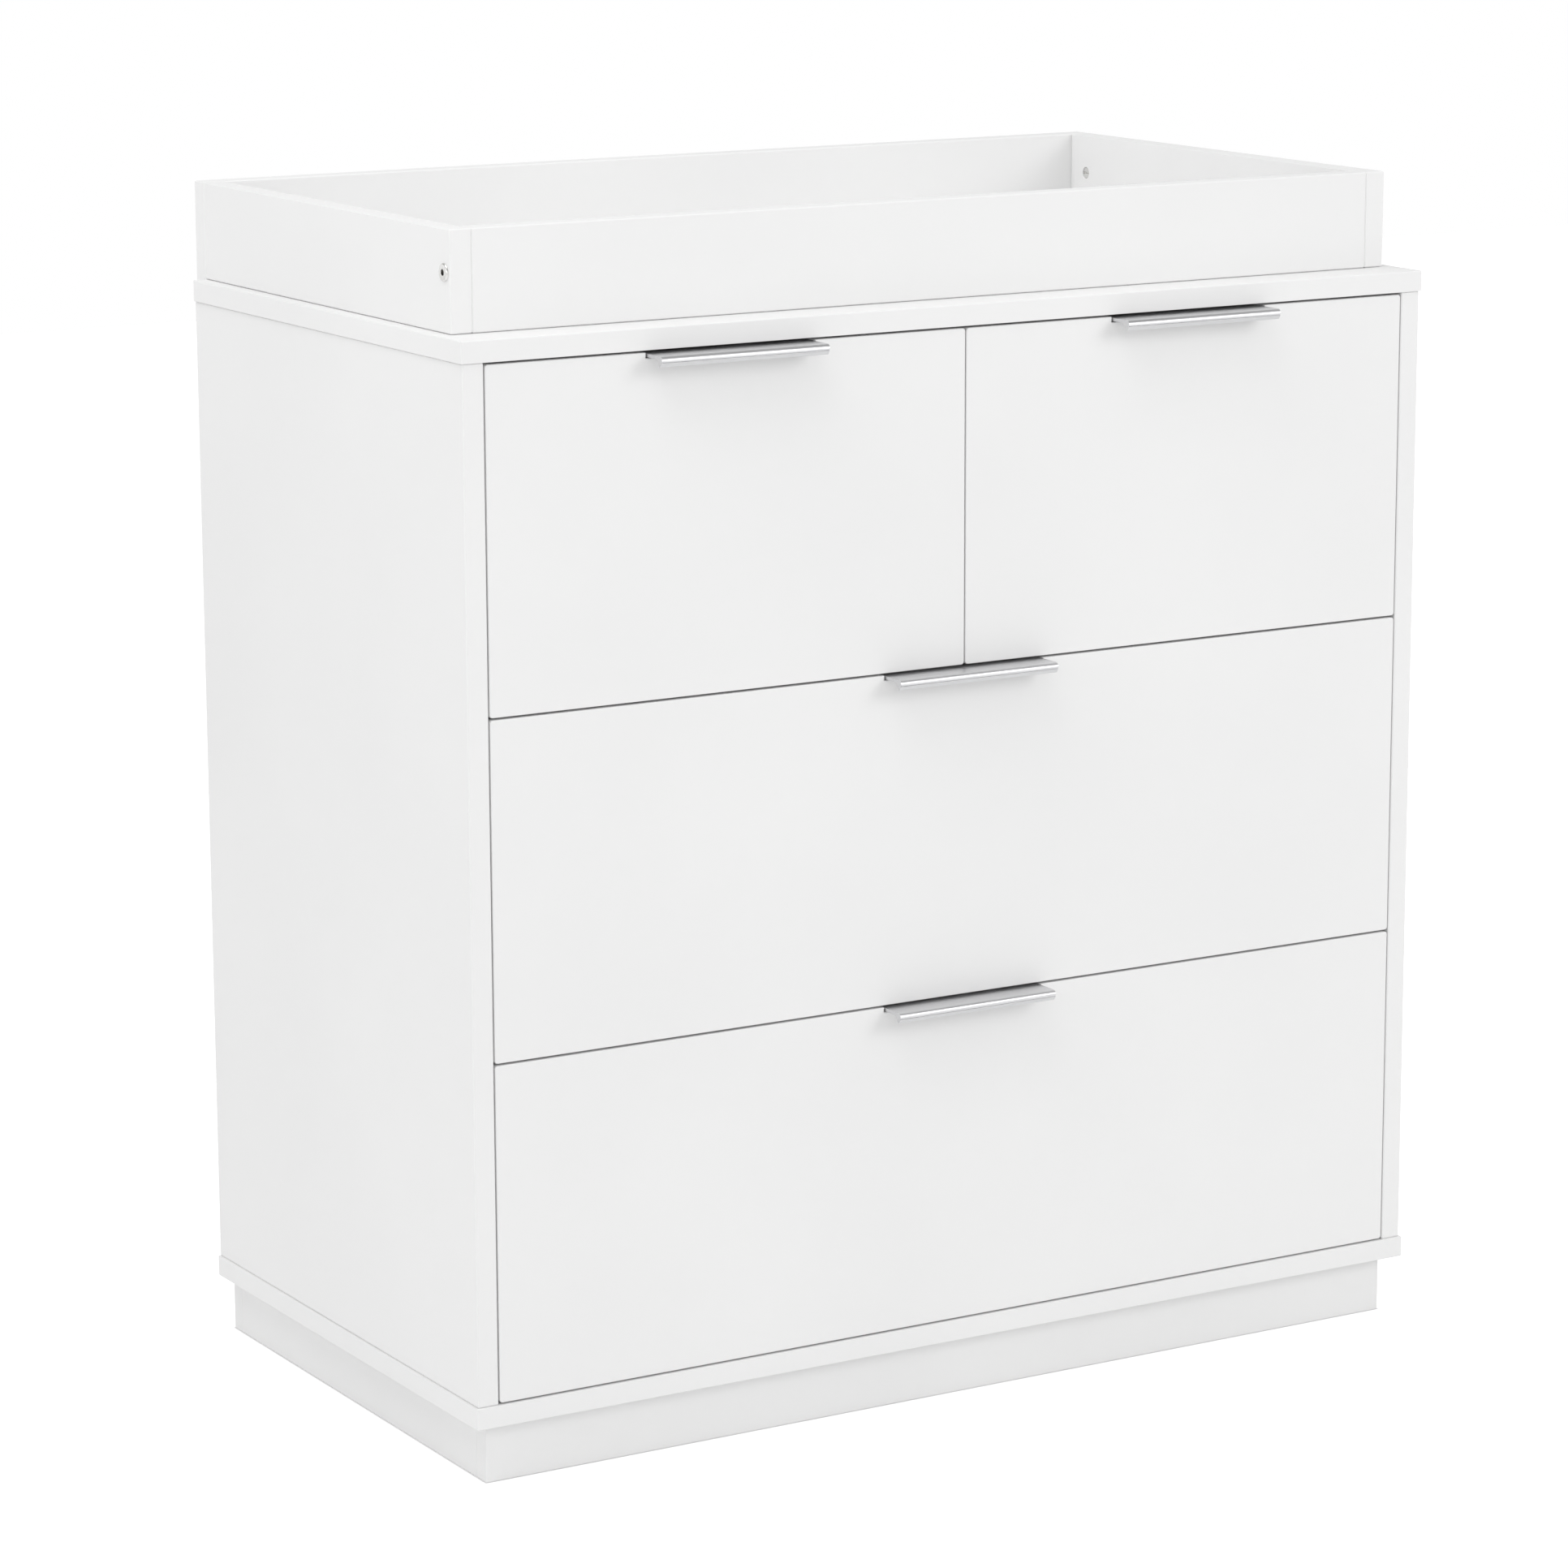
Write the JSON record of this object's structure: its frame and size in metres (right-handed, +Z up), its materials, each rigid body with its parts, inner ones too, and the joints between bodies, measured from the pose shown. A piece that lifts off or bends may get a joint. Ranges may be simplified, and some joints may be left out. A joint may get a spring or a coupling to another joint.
{
  "type": "changing dresser",
  "caption": "White changing dresser: two half-width over two full-width drawers on ball-bearing runners with edge pulls, and an open-topped changing tray fixed on its top panel.",
  "frame": {"origin": "on the floor, at the middle of the whole piece as seen from above, pulls and tray board included", "axes": "+X to the user's right when facing the drawers, -Y the front that the drawers open towards, +Z up"},
  "size_m": [0.921, 0.5354, 1.007],
  "materials": {
    "white_lacquer": "white satin lacquer on fibreboard, eased edges",
    "white_board": "matt white foil on fibreboard",
    "drawer_bottom": "white painted hardboard",
    "inner_board": "white melamine-faced chipboard",
    "timber_blocks": "bare softwood glue blocks",
    "satin_aluminium": "fine brushed, satin anodised",
    "runner_steel": "rolled, bright zinc plate",
    "bearing_steel": "polished balls in a pressed steel cage",
    "zinc_fittings": "zinc plated",
    "nickel_fittings": "nickel plated, satin"
  },
  "bodies": {
    "cabinet": {"top_panel": "white_lacquer", "base_panel": "white_lacquer", "left_side_panel": "white_lacquer", "right_side_panel": "white_lacquer", "back_panel": "drawer_bottom", "center_divider": "inner_board", "front_divider_rail": "inner_board", "rear_divider_rail": "inner_board", "plinth_front": "white_lacquer", "plinth_back": "white_lacquer", "plinth_left": "white_lacquer", "plinth_right": "white_lacquer", "plinth_corner_blocks": "timber_blocks", "case_cams": "zinc_fittings", "case_cam_pins": "zinc_fittings", "cabinet_runners": "runner_steel", "tray_front": "white_lacquer", "tray_left": "white_lacquer", "tray_right": "white_lacquer", "tray_back": "white_lacquer", "tray_bolts": "nickel_fittings", "tray_barrel_nuts": "nickel_fittings", "tray_fixing_screws": "zinc_fittings"},
    "upper_left_drawer": {"upper_left_drawer_front": "white_lacquer", "upper_left_drawer_left_side": "white_board", "upper_left_drawer_right_side": "white_board", "upper_left_drawer_back": "white_board", "upper_left_drawer_bottom": "drawer_bottom", "upper_left_drawer_pull": "satin_aluminium", "upper_left_drawer_pull_screws": "zinc_fittings", "upper_left_drawer_runners": "runner_steel"},
    "upper_left_ball_cages": {"upper_left_drawer_ball_cages": "bearing_steel"},
    "upper_right_drawer": {"upper_right_drawer_front": "white_lacquer", "upper_right_drawer_left_side": "white_board", "upper_right_drawer_right_side": "white_board", "upper_right_drawer_back": "white_board", "upper_right_drawer_bottom": "drawer_bottom", "upper_right_drawer_pull": "satin_aluminium", "upper_right_drawer_pull_screws": "zinc_fittings", "upper_right_drawer_runners": "runner_steel"},
    "upper_right_ball_cages": {"upper_right_drawer_ball_cages": "bearing_steel"},
    "middle_drawer": {"middle_drawer_front": "white_lacquer", "middle_drawer_left_side": "white_board", "middle_drawer_right_side": "white_board", "middle_drawer_back": "white_board", "middle_drawer_bottom": "drawer_bottom", "middle_drawer_pull": "satin_aluminium", "middle_drawer_pull_screws": "zinc_fittings", "middle_drawer_runners": "runner_steel"},
    "middle_ball_cages": {"middle_drawer_ball_cages": "bearing_steel"},
    "lower_drawer": {"lower_drawer_front": "white_lacquer", "lower_drawer_left_side": "white_board", "lower_drawer_right_side": "white_board", "lower_drawer_back": "white_board", "lower_drawer_bottom": "drawer_bottom", "lower_drawer_pull": "satin_aluminium", "lower_drawer_pull_screws": "zinc_fittings", "lower_drawer_runners": "runner_steel"},
    "lower_ball_cages": {"lower_drawer_ball_cages": "bearing_steel"}
  },
  "joints": [
    {"name": "upper_left_drawer_slide", "type": "slide", "parent": "cabinet", "child": "upper_left_drawer", "axis": [0, -1, 0], "range_m": [0, 0.3]},
    {"name": "upper_left_cage_slide", "type": "slide", "parent": "cabinet", "child": "upper_left_ball_cages", "axis": [0, -1, 0], "range_m": [0, 0.15]},
    {"name": "upper_right_drawer_slide", "type": "slide", "parent": "cabinet", "child": "upper_right_drawer", "axis": [0, -1, 0], "range_m": [0, 0.3]},
    {"name": "upper_right_cage_slide", "type": "slide", "parent": "cabinet", "child": "upper_right_ball_cages", "axis": [0, -1, 0], "range_m": [0, 0.15]},
    {"name": "middle_drawer_slide", "type": "slide", "parent": "cabinet", "child": "middle_drawer", "axis": [0, -1, 0], "range_m": [0, 0.3]},
    {"name": "middle_cage_slide", "type": "slide", "parent": "cabinet", "child": "middle_ball_cages", "axis": [0, -1, 0], "range_m": [0, 0.15]},
    {"name": "lower_drawer_slide", "type": "slide", "parent": "cabinet", "child": "lower_drawer", "axis": [0, -1, 0], "range_m": [0, 0.3]},
    {"name": "lower_cage_slide", "type": "slide", "parent": "cabinet", "child": "lower_ball_cages", "axis": [0, -1, 0], "range_m": [0, 0.15]}
  ],
  "couplings": [
    {"joint": "upper_left_cage_slide", "follows": "upper_left_drawer_slide", "ratio": 0.5},
    {"joint": "upper_right_cage_slide", "follows": "upper_right_drawer_slide", "ratio": 0.5},
    {"joint": "middle_cage_slide", "follows": "middle_drawer_slide", "ratio": 0.5},
    {"joint": "lower_cage_slide", "follows": "lower_drawer_slide", "ratio": 0.5}
  ]
}
